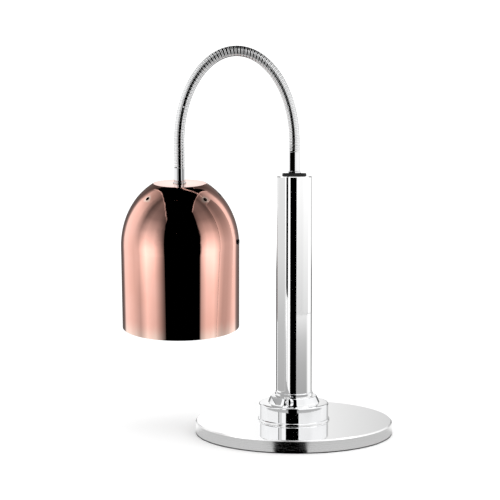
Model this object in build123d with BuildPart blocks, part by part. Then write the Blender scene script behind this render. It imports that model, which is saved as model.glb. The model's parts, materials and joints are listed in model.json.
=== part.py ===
from build123d import *
import os
from math import asin, cos, hypot, radians, sin, sqrt, tan

# Heat lamp warmer: a bell shade on a gooseneck, on a column that turns in a weighted round base.
# Millimetres. Z is up, the origin is on the bench under the column, the lamp hangs towards -X.

# Base
BASE_R = 139.7
BASE_H = 18.0
COVER_WALL = 1.5
PAD_R = 136.0
PAD_H = 3.2
BOLT_CIRCLE = 33.0
BOLT_R = 3.0

# Collar at the column's foot
COLLAR_R = 49.25
COLLAR_TOP = 43.0
COLLAR_WALL = 2.0
CONE_TOP = 53.0
FLANGE_TOP = 24.0
SWITCH_AT = 215.0
SWITCH_Z = 31.5
PIVOT = 52.0
LEVER_DROP = 13.0
GLAND_Z = 31.0
CLAMP_AT = -11.0
CLAMP_Z = 49.2

# Column
TUBE_R = 25.4
TUBE_BORE = 23.8
TUBE_TOP = 363.2
CAP_TOP = 364.6
SLEEVE_FOOT = 371.6
SLEEVE_TOP = 398.5
NIPPLE_R = 4.95
HOLE_R = 5.0

# Gooseneck, a half ellipse that leans out of its plane on the way down to the shade
NECK_R = 7.5
NECK_BORE = 2.2
NECK_A = 81.0
NECK_B = 127.3
NECK_Z = 412.0
LEAN_FROM = 490.0
JOINT_ANGLES = (8, 38, 72, 108, 142, 172)
BALL_R = 5.9
SOCKET_R = 5.95
SOCKET_LIP = 1.5
SHOULDER = 5.2
BALL_STEM = 3.7

# Shade and lamp, along the shade's own axis
TILT = 6.7
SHADE_R = 84.4
SHADE_H = 208.0
SHADE_WALL = 1.0
SPRING = 90.0
FLAT_R = 37.4
FERRULE_TOP = 22.5
VENT_R = 3.0
VENT_RING = 57.0
SCREW_DROP = 81.0
SCREW_AT = (78.0, 258.0)
DOME_Z = -78.5
DOME_HALF = 31.2

DOME_RISE = SPRING / sqrt(1 - (FLAT_R / SHADE_R) ** 2)
LEAN = tan(radians(TILT))
HEAD_X = -2 * NECK_A
HEAD_Z = 354.2
HEAD_Y = 11.3
UP = Vector(0, -sin(radians(TILT)), cos(radians(TILT)))
HEAD_ORIGIN = Vector(HEAD_X, HEAD_Y, HEAD_Z)
HEAD = Plane(origin=HEAD_ORIGIN, x_dir=(1, 0, 0), z_dir=UP)

os.makedirs("parts", exist_ok=True)


def save(part, name):
    """Label a finished part and write its file."""
    part.label = name
    export_step(part, f"parts/{name}.step")


def save_on_lamp(part, name):
    """The same for a part drawn upright with its zero at the middle of the shade's flat top."""
    save(part.moved(HEAD.location), name)


def rounds(part, least):
    """Circular edges of a part larger than a radius, lowest first."""
    return part.edges().filter_by(GeomType.CIRCLE).filter_by(lambda e: e.radius > least).sort_by(Axis.Z)


def radial_plane(angle, height):
    """Upright plane on the column's axis whose normal points out at an angle, 0 at -Y and 90 at +X."""
    a = radians(angle)
    return Plane(origin=(0, 0, height), x_dir=(cos(a), sin(a), 0), z_dir=(sin(a), -cos(a), 0))


def hex_nut(plane, low, high, flats, bore):
    """Hexagon nut between two distances along a plane's normal."""
    with BuildPart() as nut:
        with BuildSketch(plane.offset(low)):
            RegularPolygon(radius=flats / 2, side_count=6, major_radius=False)
            Circle(bore, mode=Mode.SUBTRACT)
        extrude(amount=high - low)
    return nut.part


def threaded_tube(plane, low, high, radius, bore):
    """Hollow nipple between two distances along a plane's normal."""
    with BuildPart() as tube:
        with BuildSketch(plane.offset(low)):
            Circle(radius)
            Circle(bore, mode=Mode.SUBTRACT)
        extrude(amount=high - low)
    return tube.part


def lead_bundle(plane, low, high, count, wire, spread):
    """Straight insulated wires side by side round a plane's normal."""
    with BuildPart() as leads:
        with BuildSketch(plane.offset(low)):
            with PolarLocations(spread, count):
                Circle(wire)
        extrude(amount=high - low)
    return leads.part


def inset(outline, wall):
    """Inner points of an outline that runs outward and down, moved in by a wall thickness."""
    moved = []
    for before, here, after in zip(outline, outline[1:], outline[2:]):
        across, down = after[0] - before[0], after[1] - before[1]
        scale = wall / hypot(across, down)
        moved.append((here[0] + down * scale, here[1] - across * scale))
    return moved


def dome_line(wall, steps=8):
    """Points up the shade's dome, part of an ellipse, from its spring line to its flat top, a wall inside."""
    end = asin((SPRING - wall) / (DOME_RISE - wall))
    turns = [end * k / steps for k in range(steps + 1)]
    return [((SHADE_R - wall) * cos(t), (DOME_RISE - wall) * sin(t) - SPRING) for t in turns]


def dome_slope(wall):
    """Direction of that line where it meets the flat top."""
    end = asin((SPRING - wall) / (DOME_RISE - wall))
    return -(SHADE_R - wall) * sin(end), (DOME_RISE - wall) * cos(end)


def dome_edge(radius):
    """Where the bulb's face, a cap of a sphere on its axis, meets its rounded shoulder."""
    return radius * sin(radians(DOME_HALF)), DOME_Z - radius * cos(radians(DOME_HALF))


# Cover: a polished pan with a bevelled edge, its rim just above the bench
with BuildPart() as base_cover:
    with BuildSketch(Plane.XZ):
        with BuildLine():
            Polyline(
                (0, BASE_H),
                (BASE_R - 1.7, BASE_H),
                (BASE_R, BASE_H - 1.7),
                (BASE_R, 0.8),
                (BASE_R - COVER_WALL, 0.8),
                (BASE_R - COVER_WALL, BASE_H - COVER_WALL - 1.0),
                (BASE_R - COVER_WALL - 1.0, BASE_H - COVER_WALL),
                (0, BASE_H - COVER_WALL),
                close=True,
            )
        make_face()
    revolve(axis=Axis.Z)
    with BuildSketch(Plane.XY):
        with PolarLocations(BOLT_CIRCLE, 4, start_angle=45):
            Circle(BOLT_R + 0.2)
    extrude(amount=BASE_H + 1, mode=Mode.SUBTRACT)
save(base_cover.part, "base_cover")

# Weight: a cast disc that fills the cover
with BuildPart() as base_weight:
    with BuildSketch(Plane.XY.offset(PAD_H)):
        Circle(BASE_R - COVER_WALL - 0.3)
    extrude(amount=BASE_H - COVER_WALL - PAD_H)
    chamfer(base_weight.edges().group_by(Axis.Z)[-1], length=1.3)
    with BuildSketch(Plane.XY.offset(PAD_H)):
        with PolarLocations(BOLT_CIRCLE, 4, start_angle=45):
            Circle(6.2)
    extrude(amount=5.0, mode=Mode.SUBTRACT)
    with BuildSketch(Plane.XY.offset(PAD_H)):
        with PolarLocations(BOLT_CIRCLE, 4, start_angle=45):
            Circle(BOLT_R + 0.3)
    extrude(amount=BASE_H, mode=Mode.SUBTRACT)
save(base_weight.part, "base_weight")

# Pad: a rubber sheet under the weight, with two grip grooves
with BuildPart() as base_pad:
    Cylinder(PAD_R, PAD_H, align=(Align.CENTER, Align.CENTER, Align.MIN))
    for ring in (70.0, 110.0):
        with BuildSketch(Plane.XY):
            Circle(ring + 2.5)
            Circle(ring - 2.5, mode=Mode.SUBTRACT)
        extrude(amount=1.2, mode=Mode.SUBTRACT)
    chamfer(rounds(base_pad, PAD_R - 1)[0], length=0.8)
save(base_pad.part, "base_pad")

# Bolts that hold the socket through the cover and the weight
with BuildPart() as base_bolts:
    with BuildSketch(Plane.XY.offset(PAD_H + 0.8)):
        with PolarLocations(BOLT_CIRCLE, 4, start_angle=45):
            Circle(5.2)
    extrude(amount=4.2)
    with BuildSketch(Plane.XY.offset(PAD_H + 0.8)):
        with PolarLocations(BOLT_CIRCLE, 4, start_angle=45):
            RegularPolygon(radius=2.5, side_count=6, major_radius=False)
    extrude(amount=2.4, mode=Mode.SUBTRACT)
    with BuildSketch(Plane.XY.offset(PAD_H + 5.0)):
        with PolarLocations(BOLT_CIRCLE, 4, start_angle=45):
            Circle(BOLT_R)
    extrude(amount=FLANGE_TOP - PAD_H - 6.0)
save(base_bolts.part, "base_bolts")

# Socket: a flange and a spigot that the column turns on, with a slot for the leads
with BuildPart() as column_socket:
    with BuildSketch(Plane.XY.offset(BASE_H)):
        Circle(40.0)
    extrude(amount=FLANGE_TOP - BASE_H)
    with BuildSketch(Plane.XY.offset(BASE_H)):
        Circle(TUBE_BORE - 0.05)
    extrude(amount=54.0)
    chamfer(column_socket.edges().group_by(Axis.Z)[-1], length=1.2)
    with BuildSketch(Plane.XY.offset(BASE_H)):
        Circle(14.0)
        with PolarLocations(BOLT_CIRCLE, 4, start_angle=45):
            Circle(BOLT_R + 0.05)
    extrude(amount=60.0, mode=Mode.SUBTRACT)
    with Locations((0, 26, BASE_H)):
        Box(9, 40, 4.0, align=(Align.CENTER, Align.CENTER, Align.MIN), mode=Mode.SUBTRACT)
save(column_socket.part, "column_socket")

# Collar: a stepped cup round the column's foot, with a bead at its own foot
with BuildPart() as collar:
    with BuildSketch(Plane.XZ):
        with BuildLine():
            Polyline((COLLAR_R - COLLAR_WALL, BASE_H), (COLLAR_R + 0.6, BASE_H), (COLLAR_R + 1.65, BASE_H + 0.9))
            ThreePointArc(
                (COLLAR_R + 1.65, BASE_H + 0.9),
                (COLLAR_R + 1.3, BASE_H + 2.5),
                (COLLAR_R, BASE_H + 3.3),
            )
            Line((COLLAR_R, BASE_H + 3.3), (COLLAR_R, COLLAR_TOP - 2.5))
            RadiusArc((COLLAR_R, COLLAR_TOP - 2.5), (COLLAR_R - 2.5, COLLAR_TOP), -2.5)
            Polyline(
                (COLLAR_R - 2.5, COLLAR_TOP),
                (34.2, COLLAR_TOP),
                (34.2, COLLAR_TOP - COLLAR_WALL),
                (COLLAR_R - COLLAR_WALL, COLLAR_TOP - COLLAR_WALL),
                (COLLAR_R - COLLAR_WALL, BASE_H),
            )
        make_face()
    revolve(axis=Axis.Z)
    with BuildSketch(radial_plane(180, GLAND_Z).offset(40)):
        Circle(6.0)
    extrude(amount=14, mode=Mode.SUBTRACT)
    with BuildSketch(radial_plane(SWITCH_AT, SWITCH_Z).offset(40)):
        Circle(3.15)
    extrude(amount=14, mode=Mode.SUBTRACT)
save(collar.part, "collar")

# Cone: the clamp ring on top of the collar, bored to the column, with a boss for its screw
with BuildPart() as collar_cone:
    with BuildSketch(Plane.XZ):
        with BuildLine():
            Polyline(
                (TUBE_R + 0.05, CONE_TOP),
                (TUBE_R + 0.05, 36.0),
                (34.1, 36.0),
                (34.1, COLLAR_TOP),
                (36.5, COLLAR_TOP),
                (36.5, COLLAR_TOP + 0.8),
                (32.6, CONE_TOP - 1.1),
            )
            ThreePointArc((32.6, CONE_TOP - 1.1), (32.2, CONE_TOP - 0.3), (31.4, CONE_TOP))
            Line((31.4, CONE_TOP), (TUBE_R + 0.05, CONE_TOP))
        make_face()
    revolve(axis=Axis.Z)
    with BuildSketch(radial_plane(CLAMP_AT, CLAMP_Z).offset(28)):
        Circle(3.7)
    extrude(amount=8.4)
    with BuildSketch(radial_plane(CLAMP_AT, CLAMP_Z).offset(20)):
        Circle(2.05)
    extrude(amount=20, mode=Mode.SUBTRACT)
save(collar_cone.part, "collar_cone")

# Clamp screw: a domed slotted head over the cone
with BuildPart() as clamp_screw:
    clamp = radial_plane(CLAMP_AT, CLAMP_Z)
    with BuildSketch(Plane(origin=clamp.origin, x_dir=clamp.y_dir, z_dir=clamp.z_dir.cross(clamp.y_dir) * -1)):
        with BuildLine():
            Polyline((0, 25.8), (1.4, 25.8), (2.0, 26.6), (2.0, 36.7), (5.6, 36.7), (5.7, 38.0))
            ThreePointArc((5.7, 38.0), (3.6, 40.0), (0, 40.8))
            Line((0, 40.8), (0, 25.8))
        make_face()
    revolve(axis=Axis(clamp.origin, clamp.z_dir))
    with BuildSketch(clamp.offset(41)):
        Rectangle(1.3, 14)
    extrude(amount=-2.2, mode=Mode.SUBTRACT)
save(clamp_screw.part, "clamp_screw")

# Cord gland at the back of the collar, open for the supply cord, and its nut inside
with BuildPart() as cord_gland:
    rear = radial_plane(180, GLAND_Z)
    with BuildSketch(rear.offset(42.3)):
        Circle(5.9)
    extrude(amount=10)
    with BuildSketch(rear.offset(49.35)):
        RegularPolygon(radius=8.0, side_count=6, major_radius=False)
    extrude(amount=4.0)
    with BuildSketch(rear.offset(53.35)):
        Circle(7.2)
    extrude(amount=7.0, taper=9)
    with BuildSketch(rear.offset(42.0)):
        Circle(3.75)
    extrude(amount=20, mode=Mode.SUBTRACT)
save(cord_gland.part, "cord_gland")
save(hex_nut(radial_plane(180, GLAND_Z), 42.9, 46.3, 14.6, 5.95), "gland_nut")

# Toggle switch through the collar wall: body with its bushing, nut and lever
with BuildPart() as switch_body:
    dolly = radial_plane(SWITCH_AT, SWITCH_Z)
    with BuildSketch(dolly.offset(35.0)):
        Rectangle(13, 11.6)
    extrude(amount=10.2)
    with BuildSketch(dolly.offset(45.2)):
        Circle(3.1)
    extrude(amount=10.8)
    with BuildSketch(dolly.offset(46.4)):
        Circle(1.76)
    extrude(amount=PIVOT - 46.4, mode=Mode.SUBTRACT)
    with Locations(dolly.origin + dolly.z_dir * PIVOT):
        Sphere(1.76, mode=Mode.SUBTRACT)
    with BuildSketch(dolly.offset(PIVOT + 0.8)):
        Circle(1.56)
    with BuildSketch(dolly.offset(56.2)):
        Circle(2.65)
    loft(mode=Mode.SUBTRACT)
    for pin in (-4.0, 0.0, 4.0):
        with BuildSketch(dolly.offset(35.0)):
            with Locations((pin, 0)):
                Rectangle(0.8, 4.4)
        extrude(amount=-3.6)
save(switch_body.part, "switch_body")
save(hex_nut(radial_plane(SWITCH_AT, SWITCH_Z), 49.35, 51.6, 9.0, 3.12), "switch_nut")

# The lever hangs down at rest, switched off
throw = radians(LEVER_DROP)
lever_way = dolly.z_dir * cos(throw) - dolly.y_dir * sin(throw)
lever = Plane(origin=dolly.origin + dolly.z_dir * PIVOT, x_dir=dolly.x_dir, z_dir=lever_way)
with BuildPart() as switch_lever:
    with Locations(lever):
        Sphere(1.7)
    with BuildSketch(lever):
        Circle(1.05)
    with BuildSketch(lever.offset(12.5)):
        Circle(1.9)
    loft()
    with Locations(lever.offset(12.5)):
        Sphere(1.9)
save(switch_lever.part, "switch_lever")

# Terminal block on the socket's flange, its screws, and the leads from the gland
with BuildPart() as terminal_block:
    with BuildSketch(Plane.XY.offset(FLANGE_TOP)):
        with Locations((33.2, 0)):
            Rectangle(9.4, 25)
    extrude(amount=8.0)
    for y in (-8.0, 0.0, 8.0):
        with BuildSketch(Plane.XY.offset(FLANGE_TOP + 3)):
            with Locations((33.2, y)):
                Circle(2.0)
        extrude(amount=8.0, mode=Mode.SUBTRACT)
    for y in (-4.0, 4.0):
        with Locations((33.2, y, FLANGE_TOP + 8)):
            Box(12, 1.0, 3.0, mode=Mode.SUBTRACT)
save(terminal_block.part, "terminal_block")

with BuildPart() as terminal_screws:
    for y in (-8.0, 0.0, 8.0):
        with BuildSketch(Plane.XY.offset(FLANGE_TOP + 3)):
            with Locations((33.2, y)):
                Circle(1.9)
        extrude(amount=4.0)
        with Locations((33.2, y, FLANGE_TOP + 7)):
            Box(5, 0.7, 1.4, mode=Mode.SUBTRACT)
save(terminal_screws.part, "terminal_screws")

with BuildPart() as base_leads:
    for height in (26.2, 29.4, 32.6):
        with BuildLine() as run:
            CenterArc((0, 0, height), 43.6, 2, 72)
        with BuildSketch(Plane(origin=run.line @ 0, z_dir=run.line % 0)):
            Circle(1.2)
        sweep(path=run.line)
save(base_leads.part, "base_leads")

# Column tube, the thin trim ring at its foot, and the cap that closes its top
with BuildPart() as column_tube:
    with BuildSketch(Plane.XY.offset(FLANGE_TOP + 0.2)):
        Circle(TUBE_R)
        Circle(TUBE_BORE, mode=Mode.SUBTRACT)
    extrude(amount=TUBE_TOP - FLANGE_TOP - 0.2)
save(column_tube.part, "column_tube")

with BuildPart() as column_foot_ring:
    with BuildSketch(Plane.XZ):
        with BuildLine():
            Polyline((TUBE_R, 58.6), (TUBE_R, 53.4), (TUBE_R + 1.4, 53.4), (TUBE_R + 1.4, 57.0))
            ThreePointArc((TUBE_R + 1.4, 57.0), (TUBE_R + 1.0, 58.2), (TUBE_R, 58.6))
        make_face()
    revolve(axis=Axis.Z)
save(column_foot_ring.part, "column_foot_ring")

with BuildPart() as column_cap:
    with BuildSketch(Plane.XZ):
        with BuildLine():
            Polyline(
                (HOLE_R, CAP_TOP),
                (TUBE_R - 1.0, CAP_TOP),
                (TUBE_R, CAP_TOP - 1.0),
                (TUBE_R, TUBE_TOP),
                (TUBE_BORE, TUBE_TOP),
                (TUBE_BORE, 350.0),
                (TUBE_BORE - 2, 350.0),
                (TUBE_BORE - 2, 361.0),
                (HOLE_R, 361.0),
                close=True,
            )
        make_face()
    revolve(axis=Axis.Z)
save(column_cap.part, "column_cap")

# Black lock disc, jam nut and smooth sleeve that carry the gooseneck on a threaded nipple
with BuildPart() as lock_disc:
    with BuildSketch(Plane.XY.offset(CAP_TOP)):
        Circle(17.0)
        Circle(HOLE_R, mode=Mode.SUBTRACT)
    extrude(amount=4.2)
    fillet(rounds(lock_disc, 16)[-1], radius=0.9)
save(lock_disc.part, "lock_disc")

with BuildPart() as neck_nut:
    with BuildSketch(Plane.XY.offset(CAP_TOP + 4.2)):
        Circle(9.1)
        Circle(HOLE_R, mode=Mode.SUBTRACT)
    extrude(amount=SLEEVE_FOOT - CAP_TOP - 4.2)
    fillet(rounds(neck_nut, 9), radius=0.7)
save(neck_nut.part, "neck_nut")

with BuildPart() as neck_sleeve:
    with BuildSketch(Plane.XY.offset(SLEEVE_FOOT)):
        Circle(7.6)
        Circle(HOLE_R, mode=Mode.SUBTRACT)
    extrude(amount=SLEEVE_TOP - SLEEVE_FOOT)
    fillet(rounds(neck_sleeve, 7), radius=0.4)
save(neck_sleeve.part, "neck_sleeve")

save(threaded_tube(Plane.XY, 352.0, 388.0, NIPPLE_R, 3.2), "neck_nipple")
save(hex_nut(Plane.XY, 357.2, 361.0, 15.0, HOLE_R), "neck_nipple_nut")
save(lead_bundle(Plane.XY, 40.0, 386.0, 3, 1.3, 1.6), "column_leads")


def neck_point(angle):
    """Middle of the gooseneck at an angle round its half ellipse, from the column's side."""
    a = radians(angle)
    z = NECK_Z + NECK_B * sin(a)
    drop = LEAN_FROM - z if angle > 90 and z < LEAN_FROM else 0.0
    return Vector(NECK_A * (cos(a) - 1), LEAN * drop**2 / (2 * (LEAN_FROM - NECK_Z)), z)


def neck_tangent(angle):
    """Direction of the gooseneck there, away from the column."""
    a = radians(angle)
    drop = LEAN_FROM - neck_point(angle).Z if angle > 90 else 0.0
    fall = NECK_B * cos(a)
    lean = -LEAN * max(drop, 0.0) / (LEAN_FROM - NECK_Z) * fall
    return Vector(-NECK_A * sin(a), lean, fall).normalized()


def neck_piece(start, start_way, end, end_way, socket, ball, spigot=0.0):
    """Hollow stretch of gooseneck: an open socket round its start, a ball on its end, or a plain spigot."""
    first = start - start_way * SOCKET_LIP if socket else start
    last = end - end_way * SHOULDER if ball else end
    with BuildPart() as piece:
        with BuildLine() as path:
            Spline(first, last, tangents=(start_way, end_way))
        with BuildSketch(Plane(origin=first, z_dir=start_way)):
            Circle(NECK_R)
            Circle(NECK_BORE, mode=Mode.SUBTRACT)
        sweep(path=path.line)
        if ball:
            with BuildSketch(Plane(origin=last, z_dir=end_way)):
                Circle(BALL_STEM)
                Circle(NECK_BORE, mode=Mode.SUBTRACT)
            extrude(amount=SHOULDER)
            with Locations(Plane(origin=end, z_dir=end_way)):
                Sphere(BALL_R)
            with BuildSketch(Plane(origin=end - end_way, z_dir=end_way)):
                Circle(NECK_BORE)
            extrude(amount=BALL_R + 3, mode=Mode.SUBTRACT)
        if socket:
            with Locations(Plane(origin=start, z_dir=start_way)):
                Sphere(SOCKET_R, mode=Mode.SUBTRACT)
        if spigot:
            seat, way = (last, end_way) if socket else (first, start_way * -1)
            with BuildSketch(Plane(origin=seat, z_dir=way)):
                Circle(NIPPLE_R)
                Circle(NECK_BORE, mode=Mode.SUBTRACT)
            extrude(amount=spigot)
    return piece.part


# Gooseneck: two end stubs and five stretches between them, each turning on the ball before it
foot = Vector(0, 0, SLEEVE_TOP)
hinges = [(neck_point(a), neck_tangent(a)) for a in JOINT_ANGLES]
save(neck_piece(foot, Vector(0, 0, 1), *hinges[0], False, True, 9.0), "neck_stub_lower")
for number in range(1, len(hinges)):
    stretch = neck_piece(*hinges[number - 1], *hinges[number], True, True)
    save(stretch, f"neck_link_{number}")
mouth = HEAD_ORIGIN + UP * FERRULE_TOP
save(neck_piece(*hinges[-1], mouth, UP * -1, True, False, 9.0), "neck_stub_upper")

# Ferrule and washer on top of the shade
with BuildPart() as shade_ferrule:
    with BuildSketch(Plane.XY.offset(1.8)):
        Circle(7.9)
        Circle(HOLE_R, mode=Mode.SUBTRACT)
    extrude(amount=FERRULE_TOP - 1.8)
    fillet(rounds(shade_ferrule, 7), radius=0.4)
save_on_lamp(shade_ferrule.part, "shade_ferrule")

with BuildPart() as shade_washer:
    with BuildSketch(Plane.XY):
        Circle(9.3)
        Circle(HOLE_R, mode=Mode.SUBTRACT)
    extrude(amount=1.8)
    fillet(rounds(shade_washer, 9), radius=0.6)
save_on_lamp(shade_washer.part, "shade_washer")

# Shade: a thin spun bell with a flat top, an elliptical dome, eight vents and a hem inside its rim
INNER_R = SHADE_R - SHADE_WALL
with BuildPart() as shade:
    with BuildSketch(Plane.XZ):
        with BuildLine():
            outside = Spline(*dome_line(0), tangents=((0, 1), dome_slope(0)))
            inside = Spline(*dome_line(SHADE_WALL), tangents=((0, 1), dome_slope(SHADE_WALL)))
            Polyline(outside @ 1, (5.1, 0), (5.1, -SHADE_WALL), inside @ 1)
            Polyline(
                outside @ 0,
                (SHADE_R - 0.3, -SHADE_H),
                (SHADE_R - 1.9, -SHADE_H),
                (SHADE_R - 1.9, -SHADE_H + 4),
                (INNER_R - 0.3, -SHADE_H + 5),
                inside @ 0,
            )
        make_face()
    revolve(axis=Axis.Z)
    circles = shade.edges().filter_by(GeomType.CIRCLE)
    fillet([e for e in circles if abs(e.radius - FLAT_R) < 0.05 and e.center().Z > -0.1], radius=2.5)
    vent_z = DOME_RISE * sqrt(1 - (VENT_RING / SHADE_R) ** 2) - SPRING
    for step in range(8):
        turn = radians(-49 + 45 * step)
        out = Vector(sin(turn), -cos(turn), 0)
        way = out * (VENT_RING / SHADE_R**2) + Vector(0, 0, (vent_z + SPRING) / DOME_RISE**2)
        way = way.normalized()
        with BuildSketch(Plane(origin=out * VENT_RING + Vector(0, 0, vent_z) - way * 10, z_dir=way)):
            Circle(VENT_R)
        extrude(amount=20, mode=Mode.SUBTRACT)
    for at in SCREW_AT:
        with BuildSketch(radial_plane(at, -SCREW_DROP).offset(78)):
            Circle(2.1)
        extrude(amount=10, mode=Mode.SUBTRACT)
save_on_lamp(shade.part, "shade")

# Nipple through the shade's top, tooth washer, holder cap and the nut that clamps them
save_on_lamp(threaded_tube(Plane.XY, -11.0, 12.5, NIPPLE_R, 3.2), "head_nipple")
save_on_lamp(hex_nut(Plane.XY, -7.2, -3.4, 15.0, HOLE_R), "head_nipple_nut")
save_on_lamp(lead_bundle(Plane.XY, -13.5, 11.5, 2, 1.3, 1.5), "head_leads")

with BuildPart() as tooth_washer:
    with BuildSketch(Plane.XY.offset(-SHADE_WALL - 1.0)):
        Circle(9.0)
        with PolarLocations(9.0, 12):
            Circle(0.9)
        Circle(HOLE_R + 0.1, mode=Mode.SUBTRACT)
    extrude(amount=1.0)
save_on_lamp(tooth_washer.part, "tooth_washer")

with BuildPart() as holder_cap:
    with BuildSketch(Plane.XZ):
        with BuildLine():
            Polyline((HOLE_R, -2.0), (16.0, -2.0))
            RadiusArc((16.0, -2.0), (21.0, -7.0), 5.0)
            Polyline(
                (21.0, -7.0),
                (21.0, -26.0),
                (19.7, -26.0),
                (19.7, -7.4),
                (15.6, -3.4),
                (HOLE_R, -3.4),
                (HOLE_R, -2.0),
            )
        make_face()
    revolve(axis=Axis.Z)
    for at in (0, 180):
        with BuildSketch(radial_plane(at, -21).offset(15)):
            Circle(1.65)
        extrude(amount=10, mode=Mode.SUBTRACT)
save_on_lamp(holder_cap.part, "holder_cap")

# Porcelain lamp holder with its threaded shell and centre contact
with BuildPart() as lamp_holder:
    with BuildSketch(Plane.XZ):
        with BuildLine():
            Polyline(
                (0, -14.0),
                (19.6, -14.0),
                (19.6, -27.0),
                (22.0, -27.0),
                (22.0, -52.0),
                (20.0, -58.0),
                (14.6, -58.0),
                (14.6, -25.0),
                (0, -25.0),
                close=True,
            )
        make_face()
    revolve(axis=Axis.Z)
    for at in (0, 180):
        with BuildSketch(radial_plane(at, -21).offset(15.2)):
            Circle(1.5)
        extrude(amount=6, mode=Mode.SUBTRACT)
save_on_lamp(lamp_holder.part, "lamp_holder")

with BuildPart() as holder_screws:
    for at in (0, 180):
        with BuildSketch(radial_plane(at, -21).offset(16)):
            Circle(1.45)
        extrude(amount=5.2)
        with BuildSketch(radial_plane(at, -21).offset(21.05)):
            Circle(2.8)
        extrude(amount=1.7, taper=12)
        with BuildSketch(radial_plane(at, -21).offset(22.8)):
            Rectangle(0.7, 8)
        extrude(amount=-0.9, mode=Mode.SUBTRACT)
save_on_lamp(holder_screws.part, "holder_screws")

with BuildPart() as thread_shell:
    with BuildSketch(Plane.XY.offset(-57.0)):
        Circle(14.5)
        Circle(13.3, mode=Mode.SUBTRACT)
    extrude(amount=32.0)
save_on_lamp(thread_shell.part, "thread_shell")

with BuildPart() as centre_contact:
    with BuildSketch(Plane.XY.offset(-26.2)):
        Rectangle(20, 6)
    extrude(amount=1.2)
    with BuildSketch(Plane.XY.offset(-27.4)):
        Circle(2.6)
    extrude(amount=1.4)
save_on_lamp(centre_contact.part, "centre_contact")

# Inner reflector above the bulb, held by the two screws through the shade's side
SKIRT_R = INNER_R - 0.9
with BuildPart() as reflector:
    with BuildSketch(Plane.XZ):
        with BuildLine():
            Line((SKIRT_R, -94.0), (SKIRT_R, -76.5))
            ThreePointArc((SKIRT_R, -76.5), (SKIRT_R - 4.5, -67.0), (SKIRT_R - 15, -60.0))
            Polyline((SKIRT_R - 15, -60.0), (27.0, -45.0), (27.0, -46.1), (SKIRT_R - 15, -61.1))
            ThreePointArc((SKIRT_R - 15, -61.1), (SKIRT_R - 5.3, -67.7), (SKIRT_R - 1, -76.5))
            Polyline((SKIRT_R - 1, -76.5), (SKIRT_R - 1, -94.0), (SKIRT_R, -94.0))
        make_face()
    revolve(axis=Axis.Z)
    for at in SCREW_AT:
        with BuildSketch(radial_plane(at, -SCREW_DROP).offset(76)):
            Circle(2.05)
        extrude(amount=10, mode=Mode.SUBTRACT)
save_on_lamp(reflector.part, "reflector")

with BuildPart() as reflector_screws:
    for at in SCREW_AT:
        with BuildSketch(radial_plane(at, -SCREW_DROP).offset(79.5)):
            Circle(2.0)
        extrude(amount=5.2)
        with BuildSketch(radial_plane(at, -SCREW_DROP).offset(SHADE_R + 0.1)):
            Circle(4.0)
        extrude(amount=1.5, taper=15)
        with BuildSketch(radial_plane(at, -SCREW_DROP).offset(SHADE_R + 1.7)):
            Rectangle(0.9, 10)
        extrude(amount=-0.8, mode=Mode.SUBTRACT)
save_on_lamp(reflector_screws.part, "reflector_screws")

# Reflector bulb: screw cap, contact with its insulator, glass and filament mount
with BuildPart() as bulb_cap:
    with BuildSketch(Plane.XZ):
        with BuildLine():
            Polyline(
                (4.6, -29.4),
                (9.5, -30.6),
                (13.2, -34.0),
                (13.2, -58.6),
                (12.4, -58.6),
                (12.4, -34.6),
                (9.0, -31.6),
                (4.6, -30.5),
                close=True,
            )
        make_face()
    revolve(axis=Axis.Z)
save_on_lamp(bulb_cap.part, "bulb_cap")

with BuildPart() as bulb_contact:
    with BuildSketch(Plane.XY.offset(-30.4)):
        Circle(4.5)
    extrude(amount=2.4, taper=25)
save_on_lamp(bulb_contact.part, "bulb_contact")

BULB_SIDE = ((12.3, -58.0), (17.0, -72.0), (23.0, -92.0), (42.0, -120.0), (58.5, -142.0), (62.5, -157.0))
with BuildPart() as bulb_glass:
    with BuildSketch(Plane.XZ):
        with BuildLine():
            Line((12.3, -50.0), (12.3, -58.0))
            Spline(*BULB_SIDE, tangents=((0, -1), (0, -1)))
            ThreePointArc((62.5, -157.0), (61.3, -165.5), dome_edge(110.0))
            CenterArc((0, DOME_Z), 110.0, -90 + DOME_HALF, -DOME_HALF)
            Line((0, DOME_Z - 110.0), (0, DOME_Z - 109.1))
            CenterArc((0, DOME_Z), 109.1, -90, DOME_HALF)
            ThreePointArc(dome_edge(109.1), (60.4, -165.1), (61.6, -157.0))
            Spline(
                (61.6, -157.0),
                *reversed(inset(BULB_SIDE, 0.9)),
                (11.4, -58.0),
                tangents=((0, 1), (0, 1)),
            )
            Polyline((11.4, -58.0), (11.4, -50.0), (12.3, -50.0))
        make_face()
    revolve(axis=Axis.Z)
save_on_lamp(bulb_glass.part, "bulb_glass")

with BuildPart() as bulb_filament:
    with BuildSketch(Plane.XY.offset(-62.0)):
        Circle(11.0)
    extrude(amount=10.0)
    with BuildSketch(Plane.XY.offset(-112.0)):
        for x in (-6.0, 6.0):
            with Locations((x, 0)):
                Circle(0.6)
    extrude(amount=51.0)
    with BuildSketch(Plane(origin=(-8.0, 0, -112.0), z_dir=(1, 0, 0))):
        Circle(1.6)
    extrude(amount=16.0)
save_on_lamp(bulb_filament.part, "bulb_filament")
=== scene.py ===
import json
from bisect import bisect
from math import cos, pi, radians, sin, tan

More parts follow.
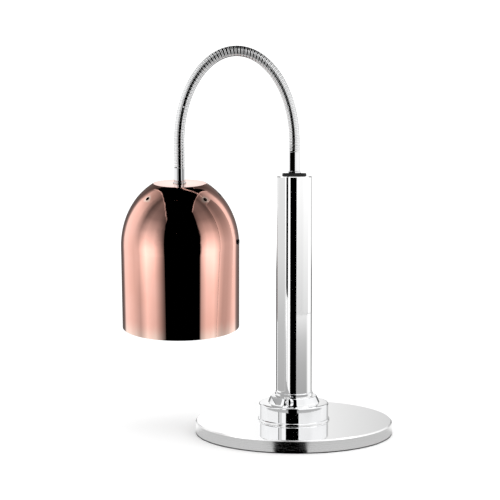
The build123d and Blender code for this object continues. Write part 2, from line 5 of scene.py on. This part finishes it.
import bpy
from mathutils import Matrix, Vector


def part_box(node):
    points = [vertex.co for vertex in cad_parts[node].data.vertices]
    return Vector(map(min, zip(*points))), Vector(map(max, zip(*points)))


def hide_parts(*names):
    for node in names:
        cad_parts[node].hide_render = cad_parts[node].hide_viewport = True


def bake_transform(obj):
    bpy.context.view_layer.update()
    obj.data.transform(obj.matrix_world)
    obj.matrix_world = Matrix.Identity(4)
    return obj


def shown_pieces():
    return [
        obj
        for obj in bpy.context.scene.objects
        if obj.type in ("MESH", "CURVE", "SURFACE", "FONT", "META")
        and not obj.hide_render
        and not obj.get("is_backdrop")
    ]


# Looks for the heat lamp warmer: a finish for each CAD node, the gooseneck's wound wire, and a small studio.
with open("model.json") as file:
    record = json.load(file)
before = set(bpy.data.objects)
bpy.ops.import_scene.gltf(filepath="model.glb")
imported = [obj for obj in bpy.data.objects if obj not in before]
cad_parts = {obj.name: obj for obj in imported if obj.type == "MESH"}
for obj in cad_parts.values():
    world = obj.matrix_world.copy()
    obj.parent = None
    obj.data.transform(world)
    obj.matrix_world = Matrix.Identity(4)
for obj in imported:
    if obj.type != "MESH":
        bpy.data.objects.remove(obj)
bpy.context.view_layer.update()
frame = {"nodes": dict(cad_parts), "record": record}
NODES = frame["nodes"]


# ---- Camera --------------------------------------------------------------------------------------
LENS, SENSOR = 102.27, 36.0
CAMERA_AT = (-0.06236, -2.0, 0.4367)
CAMERA_TILT = 84.96
FAR = 50.0

camera = bpy.data.objects.new("camera", bpy.data.cameras.new("camera"))
camera.data.lens = LENS
camera.data.sensor_width = SENSOR
camera.data.clip_end = FAR
camera.location = CAMERA_AT
camera.rotation_euler = (radians(CAMERA_TILT), 0, 0)
bpy.context.scene.collection.objects.link(camera)
bpy.context.scene.camera = camera
bpy.context.scene.view_settings.view_transform = "Standard"


# ---- Finishes ------------------------------------------------------------------------------------
class Finish:
    """One procedural material. Lengths in its textures are millimetres, measured in the row frame."""

    def __init__(self, name, metallic=0.0, **sockets):
        self.material = bpy.data.materials.new(name)
        self.material.use_nodes = True
        self.tree = self.material.node_tree
        self.shader = self.tree.nodes["Principled BSDF"]
        self.shader.inputs["Metallic"].default_value = metallic
        for socket, value in sockets.items():
            self.shader.inputs[socket.replace("_", " ")].default_value = value
        where = self.node("ShaderNodeTexCoord")
        self.place = self.maths("SCALE", where.outputs["Object"], 1000.0, vector=True)

    def node(self, kind, **settings):
        made = self.tree.nodes.new(kind)
        for key, value in settings.items():
            setattr(made, key, value)
        return made

    def join(self, value, socket):
        """Puts a number or another node's output into a socket."""
        if isinstance(value, bpy.types.NodeSocket):
            self.tree.links.new(value, socket)
        else:
            socket.default_value = value

    def maths(self, operation, a, b=0.0, vector=False):
        if vector:
            made = self.node("ShaderNodeVectorMath", operation=operation)
            self.join(a, made.inputs[0])
            self.join(b, made.inputs["Scale"] if operation == "SCALE" else made.inputs[1])
            return made.outputs[0]
        made = self.node("ShaderNodeMath", operation=operation)
        self.join(a, made.inputs[0])
        self.join(b, made.inputs[1])
        return made.outputs[0]

    def noise(self, size, detail=3.0, stretch=(1, 1, 1), place=None):
        """Cloudy values round 0.5, in patches of that size in millimetres, pulled out by stretch."""
        scale = tuple(1 / (size * s) for s in stretch)
        spread = self.maths("MULTIPLY", place or self.place, scale, vector=True)
        made = self.node("ShaderNodeTexNoise")
        self.join(spread, made.inputs["Vector"])
        made.inputs["Scale"].default_value = 1.0
        made.inputs["Detail"].default_value = detail
        return made.outputs["Fac"]

    def ramp(self, value, low, high, out_low=0.0, out_high=1.0):
        made = self.node("ShaderNodeMapRange", interpolation_type="SMOOTHSTEP")
        self.join(value, made.inputs["Value"])
        limits = {"From Min": low, "From Max": high, "To Min": out_low, "To Max": out_high}
        for socket, number in limits.items():
            made.inputs[socket].default_value = number
        return made.outputs["Result"]

    def mix(self, share, a, b):
        made = self.node("ShaderNodeMix", data_type="RGBA")
        self.join(share, made.inputs["Factor"])
        for colour, socket in ((a, made.inputs["A"]), (b, made.inputs["B"])):
            self.join(colour if isinstance(colour, bpy.types.NodeSocket) else (*colour, 1), socket)
        return made.outputs["Result"]

    def round_the_axis(self, origin=(0, 0, 0), axis=(0, 0, 1)):
        """Place as (distance from an axis, height along it, 0) in millimetres, for marks left by turning."""
        away = self.maths("SUBTRACT", self.place, origin, vector=True)
        dot = self.node("ShaderNodeVectorMath", operation="DOT_PRODUCT")
        self.join(away, dot.inputs[0])
        dot.inputs[1].default_value = axis
        along = self.node("ShaderNodeVectorMath", operation="SCALE")
        along.inputs[0].default_value = axis
        self.join(dot.outputs["Value"], along.inputs["Scale"])
        length = self.node("ShaderNodeVectorMath", operation="LENGTH")
        self.join(self.maths("SUBTRACT", away, along.outputs[0], vector=True), length.inputs[0])
        both = self.node("ShaderNodeCombineXYZ")
        self.join(length.outputs["Value"], both.inputs[0])
        self.join(dot.outputs["Value"], both.inputs[1])
        return both.outputs[0]

    def edges(self, low=0.51, high=0.58):
        """1 on sharp outside edges: where a finish rubs thin, and where the metal finishes get a painted edge
        highlight.
        """
        return self.ramp(self.node("ShaderNodeNewGeometry").outputs["Pointiness"], low, high)

    def colour(self, value):
        self.join(value, self.shader.inputs["Base Color"])

    def roughness(self, value):
        self.join(value, self.shader.inputs["Roughness"])

    def bump(self, height, depth):
        """Height from 0 to 1, as relief of that depth in millimetres."""
        made = self.node("ShaderNodeBump")
        made.inputs["Strength"].default_value = 1.0
        made.inputs["Distance"].default_value = depth / 1000
        self.join(height, made.inputs["Height"])
        self.join(made.outputs["Normal"], self.shader.inputs["Normal"])


SCRATCH_DEPTH = 0.0004   # relief of the marks on polished metal, mm
RING_DEPTH = 0.0005      # relief of the rings left by buffing and spinning, mm


def polished(name, colour, edge_wear_and_highlight, rough=0.03, haze=0.06):
    """Mirror-polished metal: faint haze in patches, hairline scratches, and a paler edge that is a painted
    highlight.
    """
    f = Finish(name, metallic=1.0)
    haze_patches = f.noise(38, 4)
    scratches = f.ramp(f.noise(1.1, 2, (14, 1, 0.7)), 0.70, 0.78)
    marks = f.noise(0.9, 3, (1, 1, 9))
    tone = f.mix(f.ramp(haze_patches, 0.35, 0.7), colour, tuple(c * 0.955 for c in colour))
    # Sharp edges are mixed towards a paler colour: a painted edge highlight.
    f.colour(f.mix(f.edges(), tone, edge_wear_and_highlight))
    even = f.ramp(haze_patches, 0.4, 0.75, rough, haze)
    f.roughness(f.maths("ADD", even, f.maths("MULTIPLY", scratches, 0.05)))
    f.bump(f.maths("ADD", marks, f.maths("MULTIPLY", scratches, -0.6)), SCRATCH_DEPTH)
    return f


def plated(name, colour, dull, rough=(0.22, 0.38), grain=0.35, relief=0.004):
    """Plain plated or drawn metal with a fine grain and duller patches."""
    f = Finish(name, metallic=1.0)
    patches = f.noise(9, 4)
    tone = f.mix(f.ramp(patches, 0.35, 0.65), colour, dull)
    # Sharp edges are painted 15 % paler: partly rubbed metal, partly a painted edge highlight.
    f.colour(f.mix(f.edges(), tone, tuple(min(1, c * 1.15) for c in colour)))
    f.roughness(f.ramp(patches, 0.3, 0.7, *rough))
    f.bump(f.noise(grain, 3), relief)
    return f


def moulded(name, colour, edge_wear_and_highlight, rough=(0.3, 0.45), grain=0.5, relief=0.01, **sockets):
    """Moulded plastic, rubber or ceramic: fine texture, slightly uneven gloss, rubbed edges."""
    f = Finish(name, **sockets)
    patches = f.noise(14, 4)
    shade = f.mix(f.ramp(patches, 0.3, 0.7), colour, tuple(c * 0.86 for c in colour))
    f.colour(f.mix(f.edges(), shade, edge_wear_and_highlight))
    f.roughness(f.ramp(f.noise(3, 3), 0.3, 0.7, *rough))
    f.bump(f.noise(grain, 3), relief)
    return f


CHROME = (0.86, 0.865, 0.875)
# Paler colour painted on the chrome's sharp edges: a painted edge highlight.
CHROME_PAINTED_EDGE_HIGHLIGHT = (0.95, 0.95, 0.95)


def bright_chrome():
    return polished("bright_chrome", CHROME, CHROME_PAINTED_EDGE_HIGHLIGHT)


def neck_chrome():
    return polished("neck_chrome", (0.80, 0.805, 0.81), CHROME_PAINTED_EDGE_HIGHLIGHT, rough=0.07, haze=0.14)


def cover_steel():
    """Base cover: a mirror top with faint rings from the buff, and a satin rim brushed round the axis."""
    f = Finish("cover_steel", metallic=1.0)
    ring = f.round_the_axis()
    up = f.node("ShaderNodeSeparateXYZ")
    f.join(f.node("ShaderNodeNewGeometry").outputs["Normal"], up.inputs[0])
    top = f.ramp(up.outputs["Z"], 0.75, 0.97)
    patches = f.noise(45, 4)
    tone = f.mix(f.ramp(patches, 0.3, 0.7), (0.86, 0.865, 0.87), (0.80, 0.81, 0.82))
    # Sharp edges are painted paler: a painted edge highlight.
    f.colour(f.mix(f.edges(), tone, CHROME_PAINTED_EDGE_HIGHLIGHT))
    satin = f.ramp(f.noise(0.35, 4, place=ring), 0.3, 0.7, 0.16, 0.3)
    mirror = f.ramp(patches, 0.4, 0.75, 0.025, 0.06)
    blend = f.node("ShaderNodeMix", data_type="FLOAT")
    f.join(top, blend.inputs["Factor"])
    f.join(satin, blend.inputs["A"])
    f.join(mirror, blend.inputs["B"])
    f.roughness(blend.outputs["Result"])
    f.bump(f.noise(1.3, 3, place=ring), RING_DEPTH)
    return f


def copper_finish():
    """Shade: lacquered copper mirror with smudges, faint spinning marks and a painted highlight on its sharp
    edges.
    """
    axis, origin = shade_axis()
    f = Finish("copper_finish", metallic=1.0)
    ring = f.round_the_axis(origin, axis)
    patches = f.noise(55, 4)
    tone = f.mix(f.ramp(patches, 0.3, 0.7), (0.92, 0.515, 0.43), (0.89, 0.475, 0.385))
    # Sharp edges, such as the vents' rims, are painted pale peach: a painted edge highlight.
    f.colour(f.mix(f.edges(0.52, 0.6), tone, (1.0, 0.75, 0.64)))
    smudges = f.ramp(f.noise(16, 5), 0.55, 0.8, 0.0, 0.03)
    f.roughness(f.maths("ADD", smudges, f.ramp(patches, 0.4, 0.75, 0.02, 0.045)))
    f.bump(f.noise(2.4, 3, place=ring), RING_DEPTH)
    return f


def shade_axis():
    """The lamp's axis and its top in millimetres, read from the boxes of its bulb and its ferrule."""
    low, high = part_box("bulb_glass")
    cap_low, cap_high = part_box("shade_ferrule")
    bulb, ferrule = (low + high) / 2, (cap_low + cap_high) / 2
    way = (ferrule - bulb).normalized()
    return tuple(way), tuple(ferrule * 1000)


FINISHES = {
    "bright_chrome": bright_chrome,
    "neck_chrome": neck_chrome,
    "cover_steel": cover_steel,
    "copper_finish": copper_finish,
    "cast_iron": lambda: plated("cast_iron", (0.10, 0.10, 0.105), (0.06, 0.06, 0.06),
                                (0.5, 0.75), 1.1, 0.08),
    "pad_rubber": lambda: moulded("pad_rubber", (0.03, 0.03, 0.03), (0.07, 0.07, 0.07),
                                  (0.6, 0.85), 0.6, 0.03),
    "zinc_steel": lambda: plated("zinc_steel", (0.66, 0.67, 0.69), (0.52, 0.53, 0.52)),
    "black_plastic": lambda: moulded("black_plastic", (0.008, 0.008, 0.009), (0.02, 0.02, 0.02),
                                     (0.35, 0.5), Specular_IOR_Level=0.08),
    "lead_sleeving": lambda: moulded("lead_sleeving", (0.78, 0.77, 0.72), (0.6, 0.6, 0.55),
                                     (0.45, 0.6), 0.3, 0.02),
    "screw_black": lambda: plated("screw_black", (0.06, 0.06, 0.065), (0.03, 0.03, 0.03)),
    "reflector_aluminium": lambda: plated("reflector_aluminium", (0.86, 0.865, 0.87), (0.78, 0.78, 0.78),
                                          (0.12, 0.22)),
    "nipple_brass": lambda: plated("nipple_brass", (0.80, 0.60, 0.30), (0.62, 0.44, 0.20)),
    "cap_steel": lambda: plated("cap_steel", (0.72, 0.72, 0.71), (0.58, 0.58, 0.56)),
    "porcelain": lambda: moulded("porcelain", (0.83, 0.82, 0.78), (0.9, 0.9, 0.88),
                                 (0.25, 0.5), 1.5, 0.02),
    "filament_mount": lambda: plated("filament_mount", (0.5, 0.49, 0.47), (0.35, 0.33, 0.30)),
}


def bulb_glass():
    """Reflector bulb: glass slightly frosted in patches."""
    f = Finish("bulb_glass", IOR=1.5, Transmission_Weight=0.85)
    patches = f.noise(12, 4)
    f.colour(f.mix(f.ramp(patches, 0.3, 0.7), (0.96, 0.97, 0.97), (0.90, 0.91, 0.92)))
    f.roughness(f.ramp(patches, 0.3, 0.7, 0.12, 0.3))
    f.bump(f.noise(0.8, 3), 0.01)
    return f


FINISHES["bulb_glass"] = bulb_glass
MATERIALS = {slot: build().material for slot, build in FINISHES.items()}
for part in frame["record"]["subparts"]:
    node_mesh = NODES[part["node"]].data
    node_mesh.materials.clear()
    node_mesh.materials.append(MATERIALS[part["material_slot"]])


# ---- Gooseneck -----------------------------------------------------------------------------------
# A round wire wound with a shaped filler wire between its turns, in six lengths, each holding one joint.
NECK_A = 0.081
NECK_B = 0.1273
SPRING_Z = 0.412
LEAN_FROM = 0.490
TILT = radians(6.7)
JOINTS_AT = (8, 38, 72, 108, 142, 172)
FERRULE_LAP = 0.0006
END_MARGIN = 0.0035
FOOT_STEPS, TAIL_STEPS = 14, 36
DEGREE_STEPS = 2
PITCH = 0.00475
WIRE_R = 0.00155
WIRE_CENTRE = 0.00595
TURN_STEPS = 36
WIRE_STEPS = 12
# Half of the filler's section, from its crown down to its foot, as (along the neck, out from its middle).
FILLER_HALF = ((0, 7.46), (0.9, 7.42), (1.45, 7.3), (0.95, 6.6), (0.72, 5.9), (0.3, 5.0))


def neck_point(angle):
    """Middle of the gooseneck's half ellipse, which leans towards -Y low on the way down."""
    a = radians(angle)
    z = SPRING_Z + NECK_B * sin(a)
    drop = max(LEAN_FROM - z, 0) if angle > 90 else 0
    return Vector((NECK_A * (cos(a) - 1), tan(TILT) * drop ** 2 / (2 * (LEAN_FROM - SPRING_Z)), z))


def neck_path():
    """Points along the gooseneck from the sleeve to the ferrule, and the distance to each."""
    foot = Vector((0, 0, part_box("neck_sleeve")[1].z))
    last = neck_point(180)
    end_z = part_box("shade_ferrule")[1].z - FERRULE_LAP
    end = last + Vector((0, sin(TILT), -cos(TILT))) * (last.z - end_z) / cos(TILT)
    points = [foot.lerp(neck_point(0), i / FOOT_STEPS) for i in range(FOOT_STEPS)]
    points += [neck_point(i / DEGREE_STEPS) for i in range(180 * DEGREE_STEPS + 1)]
    points += [last.lerp(end, (i + 1) / TAIL_STEPS) for i in range(TAIL_STEPS)]
    run = [0.0]
    for a, b in zip(points, points[1:]):
        run.append(run[-1] + (b - a).length)
    return points, run


def neck_frames(points):
    """A tangent and two cross directions at each point, carried along without twist."""
    across = Vector((0, -1, 0))
    frames = []
    for i in range(len(points)):
        way = (points[min(i + 1, len(points) - 1)] - points[max(i - 1, 0)]).normalized()
        across = (across - way * across.dot(way)).normalized()
        frames.append((way, across, way.cross(across)))
    return frames


PATH, RUN = neck_path()
FRAMES = neck_frames(PATH)


def at(distance):
    """Point and directions at a distance along the gooseneck."""
    i = min(max(bisect(RUN, distance) - 1, 0), len(RUN) - 2)
    share = (distance - RUN[i]) / (RUN[i + 1] - RUN[i])
    point = PATH[i].lerp(PATH[i + 1], share)
    return point, *(a.lerp(b, share).normalized() for a, b in zip(FRAMES[i], FRAMES[i + 1]))


def round_section():
    """The round wire's section, as (along the neck, out from its middle)."""
    turns = [2 * pi * k / WIRE_STEPS for k in range(WIRE_STEPS)]
    return [(WIRE_R * cos(t), WIRE_CENTRE + WIRE_R * sin(t)) for t in turns]


def filler_section():
    """The filler's whole section in metres."""
    right = [(x / 1000, r / 1000) for x, r in FILLER_HALF]
    return right + [(-x, r) for x, r in reversed(right[1:])]


def wound(section, start, end, phase, points, faces):
    """Adds one wire to a mesh: the section is carried round and along the gooseneck, from start to end."""
    steps = round((end - start) / PITCH * TURN_STEPS)
    first, count = len(points), len(section)
    for i in range(steps + 1):
        along = start + (end - start) * i / steps
        turn = 2 * pi * along / PITCH + phase
        for x, r in section:
            middle, way, u, v = at(min(max(along + x, 0), RUN[-1]))
            points.append(middle + (u * cos(turn) + v * sin(turn)) * r)
    for i in range(steps):
        row = first + i * count
        for k in range(count):
            m = (k + 1) % count
            faces.append((row + k, row + m, row + count + m, row + count + k))
    faces.append(tuple(first + k for k in reversed(range(count))))
    faces.append(tuple(first + steps * count + k for k in range(count)))


def neck_length(name, start, end, stands_for):
    """One length of wound wire, in place of the CAD nodes it stands for."""
    points, faces = [], []
    wound(round_section(), start, end, 0, points, faces)
    wound(filler_section(), start, end, pi, points, faces)
    mesh = bpy.data.meshes.new(name)
    mesh.from_pydata([tuple(p) for p in points], [], faces)
    mesh.validate()
    mesh.polygons.foreach_set("use_smooth", [True] * len(mesh.polygons))
    mesh.materials.append(MATERIALS["neck_chrome"])
    piece = bpy.data.objects.new(name, mesh)
    bpy.context.scene.collection.objects.link(piece)
    at(start + END_MARGIN)[0]
    at(end - END_MARGIN)[0]
    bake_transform(piece)
    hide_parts(*stands_for)


def run_to(angle):
    """Distance along the gooseneck to an angle of its half ellipse."""
    return RUN[FOOT_STEPS + round(angle * DEGREE_STEPS)]


cuts = [0.0] + [run_to((a + b) / 2) for a, b in zip(JOINTS_AT, JOINTS_AT[1:])] + [RUN[-1]]
hidden = [["neck_stub_lower"], ["neck_link_1"], ["neck_link_2"], ["neck_link_3"], ["neck_link_4"],
          ["neck_link_5", "neck_stub_upper"]]
for k, nodes in enumerate(hidden):
    neck_length(f"neck_wire_{k + 1}", cuts[k], cuts[k + 1], nodes)


# ---- Studio --------------------------------------------------------------------------------------
# A white room and floor. The mirror finishes also see black and white cards, which nothing else sees: the
# copper shade has its own lights and the chrome stand has its own, both on a black surround. Lights are
# stops of (place, level). A level of 1 is a white card. 0 degrees is the camera's side, + to its right.
SKY = 1.12
ROOM = 1.3
FLOOR_SIZE = 12.0
HOOD_R, HOOD_H, HOOD_SIDES = 1.7, 2.0, 48
HOOD_FLOOR_Z = 0.0008
WALL_FOOT = 0.0005

# The shade's light: two broad panels with soft edges and arched tops, and a patch behind for its flat top.
LAMP_MIDDLE = (-0.162, 0.02)
LAMP_R, LAMP_H = 0.42, 1.2
PANELS_RIGHT = ((38, 0), (41, 0.58), (51, 1.03), (66, 1.08), (82, 0.54), (102, 0.68), (120, 1.05), (126, 1.0),
                (133, 0.3), (143, 0.15))
PANELS_LEFT = ((24, 0), (32, 0.31), (45, 0.9), (62, 1.15), (78, 0.58), (97, 0.88), (112, 1.03), (124, 1.03),
               (131, 0.3), (137, 0.12))
INNER_RISE = ((0.0, 0.8), (0.05, 0.85), (0.115, 1.0), (0.165, 1.42), (0.22, 1.4), (0.30, 1.0), (0.40, 0.55),
              (0.52, 0.24), (0.66, 0.16))
OUTER_RISE = ((0.0, 0.85), (0.1, 0.95), (0.3, 1.05), (0.5, 1.0), (0.75, 0.5), (1.0, 0.3))
INNER_TO_OUTER = ((74, 0), (92, 1))
LEAN_INWARD = ((0.35, 0), (0.75, 9))
ARCH_TOP, ARCH_FALL, ARCH_MIDDLE, ARCH_HALF = 1.12, 0.42, 84, 50
ARCH_RIM, RIM_LIGHT = 0.03, 0.4
BAND_FROM = 132
PATCH_FROM, PATCH_LOW, PATCH_HIGH = 166, 0.44, 0.51

# The stand's light: white walls with a dark notch at the left, dark low and high behind.
STAND_R = 1.3
STAND_TOP_GAP = 0.05
STAND_FRONT = ((-100, 1.0), (-54, 1.0), (-52, 0.0), (-44, 0.0), (-43, 1.0), (50, 0.92), (66, 1.0), (100, 1.0))
FRONT_TO = 100
NOTCH_FOOT = 0.06
STAND_RISE = ((0.0, 0.68), (0.3, 1.0))
STAND_BACK = ((100, 1.0), (138, 0.9), (144, 0.25), (150, 0.60), (168, 0.62), (176, 0.80), (184, 0.96),
              (192, 1.0), (212, 1.0), (216, 0.25), (222, 0.9), (260, 1.0))
BACK_FROM = 140
BACK_RISE = ((0.0, 0.12), (0.11, 0.12), (0.15, 1.0), (0.70, 1.0), (0.76, 0.12), (2.0, 0.12))

# The floor as the stand sees it: grey in front with a dark wedge, white at the sides, dim behind.
MAT_IN, MAT_OUT, MAT_Z, MAT_RINGS = 0.140, 1.29, 0.0016, 40
MAT_FRONT = ((0.140, 0.5), (0.2, 0.5), (0.3, 0.36), (0.6, 0.42), (0.9, 0.52), (1.3, 0.785))
MAT_SIDE, FRONT_TO_SIDE = 0.85, ((84, 0.0), (98, 1.0))
MAT_BACK = ((130, 1.0), (146, 0.12))
WEDGE_LEFT = ((0.140, 13), (0.2, 17), (0.4, 26))
WEDGE_RIGHT = ((0.140, 6), (0.2, 8), (0.4, 12))

# A black card in front of the lamp and the column, tapered above, lit for the foot at its left.
CARD_Y, CARD_H = -0.30, 1.2
CARD_LEFT, CARD_RIGHT = 25.2, 36
TAPER, TAPER_FROM, TAPER_TO = 0.035, 0.45, 0.75
LIGHT_AHEAD = 0.004
GAP_LEFT, GAP_RIGHT = 39, 26
LOW_LIGHT, LOW_LIGHT_H, LOW_LIGHT_PAST = 0.7, 0.15, 0.03

# A black card between lamp and column, lit for each, so that neither mirrors the other.
DIVIDER_X, DIVIDER_LIT = -0.050, 0.002
DIVIDER_Y = (-0.0428, 0.0152)
DIVIDER_Z = (0.055, 0.401)
LAMP_SIDE = ((-0.042, 0.95), (-0.034, 0.70), (-0.0236, 0.54), (-0.008, 0.56), (0.0047, 0.68), (0.014, 0.88))
LAMP_SIDE_RISE = ((0.055, 0.85), (0.11, 0.9), (0.2, 1.0), (0.27, 1.05), (0.30, 0.8), (0.34, 0.45),
                  (0.40, 0.25))
STAND_SIDE = ((-0.0428, 1.0), (0.0152, 1.0))
STAND_SIDE_RISE = ((0.055, 0.40), (0.15, 0.48), (0.25, 0.66), (0.40, 0.76))


def glow_material(name, see_through):
    """Material that glows by the mesh's own glow values, black elsewhere or clear."""
    material = bpy.data.materials.new(name)
    material.use_nodes = True
    nodes, links = material.node_tree.nodes, material.node_tree.links
    nodes.remove(nodes["Principled BSDF"])
    read = nodes.new("ShaderNodeAttribute")
    read.attribute_name = "glow"
    light = nodes.new("ShaderNodeEmission")
    links.new(read.outputs["Fac"], light.inputs["Strength"])
    both = nodes.new("ShaderNodeAddShader")
    links.new(light.outputs[0], both.inputs[0])
    if see_through:
        links.new(nodes.new("ShaderNodeBsdfTransparent").outputs[0], both.inputs[1])
    links.new(both.outputs[0], nodes["Material Output"].inputs["Surface"])
    material.cycles.emission_sampling = "NONE"
    return material


def card(name, points, faces, glow, see_through=False, only_for=()):
    """A studio card that is seen only in reflections, and whose light reaches only some pieces."""
    mesh = bpy.data.meshes.new(name)
    mesh.from_pydata(points, [], faces)
    mesh.materials.append(glow_material(name, see_through))
    mesh.attributes.new("glow", "FLOAT", "POINT").data.foreach_set("value", glow)
    piece = bpy.data.objects.new(name, mesh)
    bpy.context.scene.collection.objects.link(piece)
    for ray in ("camera", "diffuse", "shadow", "transmission", "volume_scatter"):
        setattr(piece, f"visible_{ray}", False)
    piece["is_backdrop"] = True
    if only_for:
        receivers = bpy.data.collections.new(f"{name}_receivers")
        for o in only_for:
            receivers.objects.link(o)
        piece.light_linking.receiver_collection = receivers


def between(value, stops):
    """Straight-line interpolation through (place, value) stops."""
    places = [s[0] for s in stops]
    if value <= places[0]:
        return stops[0][1]
    if value >= places[-1]:
        return stops[-1][1]
    i = bisect(places, value) - 1
    share = (value - places[i]) / (places[i + 1] - places[i])
    return stops[i][1] + share * (stops[i + 1][1] - stops[i][1])


def round_card(name, rings, level, only_for=(), see_through=True, columns=360, middle=(0, 0)):
    """Card through level rings of (radius, height), lit by level(angle, radius, height)."""
    points, glow, faces = [], [], []
    for away, z in rings:
        for i in range(columns):
            angle = -180 + 360 * i / columns
            points.append((middle[0] + away * sin(radians(angle)), middle[1] - away * cos(radians(angle)), z))
            glow.append(level(angle, away, z) * SKY)
    for row in range(0, (len(rings) - 1) * columns, columns):
        for i in range(columns):
            k = (i + 1) % columns
            faces.append((row + i, row + k, row + columns + k, row + columns + i))
    card(name, points, faces, glow, see_through, only_for)


def wall(radius, height, rows=60):
    """Rings of an upright round wall."""
    return [(radius, WALL_FOOT + height * j / rows) for j in range(rows + 1)]


def flat_card(name, corners, level, only_for=(), see_through=False):
    """Card of one face, evenly lit."""
    card(name, corners, [tuple(range(len(corners)))], [level * SKY] * len(corners), see_through, only_for)


def upright_card(name, x, across, rise, only_for):
    """Clear card across X, lit by its stops in Y times its stops in Z."""
    points = [(x, y, z) for z, _ in rise for y, _ in across]
    glow = [SKY * side * up for _, up in rise for _, side in across]
    count = len(across)
    faces = [(j * count + i, j * count + i + 1, (j + 1) * count + i + 1, (j + 1) * count + i)
             for j in range(len(rise) - 1) for i in range(count - 1)]
    card(name, points, faces, glow, see_through=True, only_for=only_for)


def facing_camera(x_low, x_high, y, z_high):
    """Corners of a card that stands on the floor and faces the camera."""
    return [(x_low, y, 0), (x_high, y, 0), (x_high, y, z_high), (x_low, y, z_high)]


def lamp_light(angle, _, z):
    """Panels either side of a black middle, and a patch behind that the shade's flat top mirrors."""
    turn = abs(angle)
    if turn > PATCH_FROM and PATCH_LOW < z < PATCH_HIGH:
        return 1.0
    top = LAMP_H if turn > BAND_FROM else ARCH_TOP - ARCH_FALL * ((turn - ARCH_MIDDLE) / ARCH_HALF) ** 2
    if z > top:
        return 0.0
    inward = between(z, LEAN_INWARD) if turn < ARCH_MIDDLE else 0
    level = between(turn + inward, PANELS_RIGHT if angle >= 0 else PANELS_LEFT)
    inner, outer = between(z, INNER_RISE), between(z, OUTER_RISE)
    rise = inner + (outer - inner) * between(turn, INNER_TO_OUTER)
    rim = RIM_LIGHT if z > top - ARCH_RIM and level > 0 else 0.0
    return level * rise + rim


def stand_light(angle, _, z):
    """Walls that the chrome mirrors."""
    if abs(angle) < FRONT_TO:
        level = 1.0 if z < NOTCH_FOOT and angle < 0 else between(angle, STAND_FRONT)
        return level * between(z, STAND_RISE)
    bearing = angle if angle > 0 else angle + 360
    return between(bearing, STAND_BACK) * (between(z, BACK_RISE) if abs(angle) > BACK_FROM else 1.0)


def mat_light(angle, away, _):
    """Floor round the base as the chrome mirrors it."""
    if -between(away, WEDGE_LEFT) < angle < between(away, WEDGE_RIGHT):
        return 0.0
    front = between(away, MAT_FRONT)
    side = MAT_SIDE * between(abs(angle), FRONT_TO_SIDE)
    return (front + (1 - front) * side) * between(abs(angle), MAT_BACK)


def cards():
    """All the cards, for the shade, for the whole stand, and for the stand without its neck."""
    shade = [NODES["shade"], NODES["reflector_screws"]]
    stand = [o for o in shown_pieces() if o not in shade]
    neck_names = {"shade_ferrule", "shade_washer", "neck_sleeve", "neck_nut"}
    foot = [o for o in stand if o.name not in neck_names and not o.name.startswith("neck_wire")]

    round_card("hood", wall(HOOD_R, HOOD_H, 1), lambda *_: 0.0, see_through=False, columns=HOOD_SIDES)
    turns = [2 * pi * i / HOOD_SIDES for i in range(HOOD_SIDES)]
    lid = [(HOOD_R * cos(t), HOOD_R * sin(t), HOOD_H) for t in turns]
    flat_card("hood_lid", lid, 0.0)
    flat_card("hood_floor", [(x * 1.02, y * 1.02, HOOD_FLOOR_Z) for x, y, z in lid], 0.0)
    flat_card("lid_light", [(x * 0.99, y * 0.99, z - 0.01) for x, y, z in lid], 1.0, foot, see_through=True)
    round_card("lamp_light", wall(LAMP_R, LAMP_H), lamp_light, shade, middle=LAMP_MIDDLE)
    round_card("stand_light", wall(STAND_R, HOOD_H - STAND_TOP_GAP), stand_light, stand)
    steps = [j / MAT_RINGS for j in range(MAT_RINGS + 1)]
    round_card("mat", [(MAT_IN * (MAT_OUT / MAT_IN) ** step, MAT_Z) for step in steps], mat_light, stand)

    lamp_x, ahead = LAMP_MIDDLE[0], LAMP_MIDDLE[1] - CARD_Y
    left, right = lamp_x - ahead * tan(radians(CARD_LEFT)), lamp_x + ahead * tan(radians(CARD_RIGHT))
    corners = [(left, 0), (right, 0), (right, TAPER_FROM), (right - TAPER, TAPER_TO), (right - TAPER, CARD_H),
               (left + TAPER, CARD_H), (left + TAPER, TAPER_TO), (left, TAPER_FROM)]
    flat_card("front_card", [(x, CARD_Y, z) for x, z in corners], 0.0)
    gap_y = CARD_Y + LIGHT_AHEAD
    gap_left, gap_right = gap_y * tan(radians(GAP_LEFT)), gap_y * tan(radians(GAP_RIGHT))
    gap = facing_camera(gap_left, gap_right, gap_y, CARD_H)
    low = facing_camera(left - LOW_LIGHT_PAST, gap_left, gap_y, LOW_LIGHT_H)
    flat_card("gap_light", gap, 1.0, foot, see_through=True)
    flat_card("low_light", low, LOW_LIGHT, foot, see_through=True)

    (y_low, y_high), (z_low, z_high) = DIVIDER_Y, DIVIDER_Z
    divider = [(y_low, z_low), (y_high, z_low), (y_high, z_high), (y_low, z_high)]
    flat_card("divider", [(DIVIDER_X, y, z) for y, z in divider], 0.0)
    upright_card("divider_lamp_side", DIVIDER_X - DIVIDER_LIT, LAMP_SIDE, LAMP_SIDE_RISE, shade)
    upright_card("divider_stand_side", DIVIDER_X + DIVIDER_LIT, STAND_SIDE, STAND_SIDE_RISE, foot)


def floor():
    """Pale paper, slightly mottled."""
    f = Finish("floor_paper", Roughness=0.7, Specular_IOR_Level=0.0)
    f.colour(f.mix(f.noise(300, 3), (0.94, 0.94, 0.94), (0.92, 0.92, 0.92)))
    corners = [(-1, -1), (1, -1), (1, 1), (-1, 1)]
    mesh = bpy.data.meshes.new("floor")
    mesh.from_pydata([(x * FLOOR_SIZE, y * FLOOR_SIZE, 0) for x, y in corners], [], [(0, 1, 2, 3)])
    mesh.materials.append(f.material)
    ground = bpy.data.objects.new("floor", mesh)
    bpy.context.scene.collection.objects.link(ground)
    ground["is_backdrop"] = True


world = bpy.data.worlds.new("studio")
world.use_nodes = True
background = world.node_tree.nodes["Background"]
background.inputs["Color"].default_value = (1, 1, 1, 1)
background.inputs["Strength"].default_value = ROOM
bpy.context.scene.world = world
floor()
cards()
